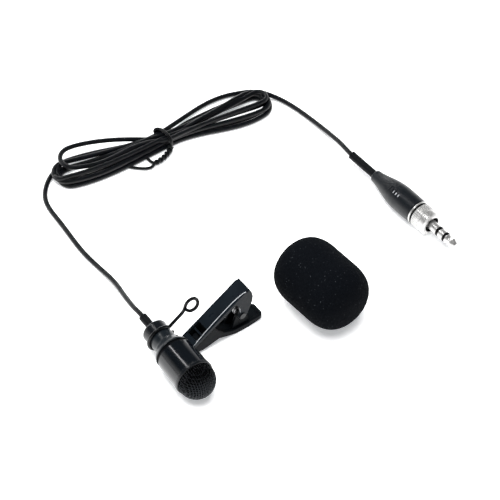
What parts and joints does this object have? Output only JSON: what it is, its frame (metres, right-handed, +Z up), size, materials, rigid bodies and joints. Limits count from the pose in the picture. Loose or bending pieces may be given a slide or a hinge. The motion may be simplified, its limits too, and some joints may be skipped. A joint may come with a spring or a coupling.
{
  "type": "lavalier microphone",
  "caption": "Wired lavalier microphone with a swivelling sprung tie clip, a tied hank of thin cable, a locking 3.5 mm jack plug and a loose foam windscreen.",
  "frame": {"origin": "on the surface that the object lies on, under the middle of the microphone, clip and windscreen, measured without the cable and plug", "axes": "+Z up; +X from the microphone towards the windscreen and plug; +Y along the microphone from its grille to its cable"},
  "size_m": [0.1163, 0.127, 0.024],
  "materials": {
    "body_black": "glossy black",
    "body_grey": "satin charcoal",
    "black_mesh": "black woven wire",
    "black_foam": "open-cell foam",
    "black_rubber": "matte black rubber",
    "clip_black": "semi-gloss black",
    "black_wire": "blackened spring wire",
    "spring_steel": "spring steel",
    "inner_metal": "plain steel",
    "circuit_board": "glass-fibre board",
    "lead_wire": "insulated wire",
    "cable_jacket": "soft PVC jacket, slight sheen",
    "tie_plastic": "plastic-covered wire",
    "handle_black": "satin black moulding",
    "insulator": "black plastic ring",
    "nickel": "bright nickel plate"
  },
  "bodies": {
    "microphone": {"grille_mesh": "black_mesh", "grille_ring": "body_black", "grille_foam": "black_foam", "front_shell": "body_black", "joint_ring": "black_rubber", "rear_shell": "body_grey", "rear_cap": "body_black", "mic_capsule": "inner_metal", "capsule_boot": "black_rubber", "capsule_board": "circuit_board", "capsule_leads": "lead_wire", "cable_anchor": "inner_metal", "mic_strain_relief": "black_rubber", "cable_to_mic": "cable_jacket", "cable_hank": "cable_jacket", "cable_to_plug": "cable_jacket", "twist_tie": "tie_plastic", "plug_strain_relief": "black_rubber", "plug_handle": "handle_black", "plug_flange": "nickel", "plug_washer": "black_rubber", "plug_collar": "nickel", "plug_sleeve": "nickel", "insulator_rear": "insulator", "plug_ring": "nickel", "insulator_front": "insulator", "plug_tip": "nickel", "solder_terminals": "inner_metal", "cable_clamp": "inner_metal"},
    "clip": {"wire_holder": "black_wire", "clip_lower_jaw": "clip_black", "clip_pin": "black_wire", "clip_spring": "spring_steel"},
    "clip_lever": {"clip_upper_jaw": "clip_black"},
    "nut": {"lock_nut": "nickel"},
    "windscreen": {"foam_windscreen": "black_foam"}
  },
  "joints": [
    {"name": "clip_swivel", "type": "hinge", "parent": "microphone", "child": "clip", "pos_m": [-0.02898, 0.01009, 0.0069], "axis": [-0.0384, -0.9993, 0], "continuous": true},
    {"name": "jaw_hinge", "type": "hinge", "parent": "clip", "child": "clip_lever", "pos_m": [-0.002, 0.00495, 0.0074], "axis": [0, 1, 0], "range_deg": [0, 30], "stiffness_Nm_per_rad": 0.05, "springref_deg": -40.11, "deforming": ["clip_spring"]},
    {"name": "nut_spin", "type": "hinge", "parent": "microphone", "child": "nut", "pos_m": [0.07528, 0.00253, 0.0046], "axis": [0.0454, -0.999, 0], "continuous": true},
    {"name": "windscreen_lift", "type": "slide", "parent": "microphone", "child": "windscreen", "axis": [0, 0, 1], "range_m": [0, 0.04]}
  ]
}
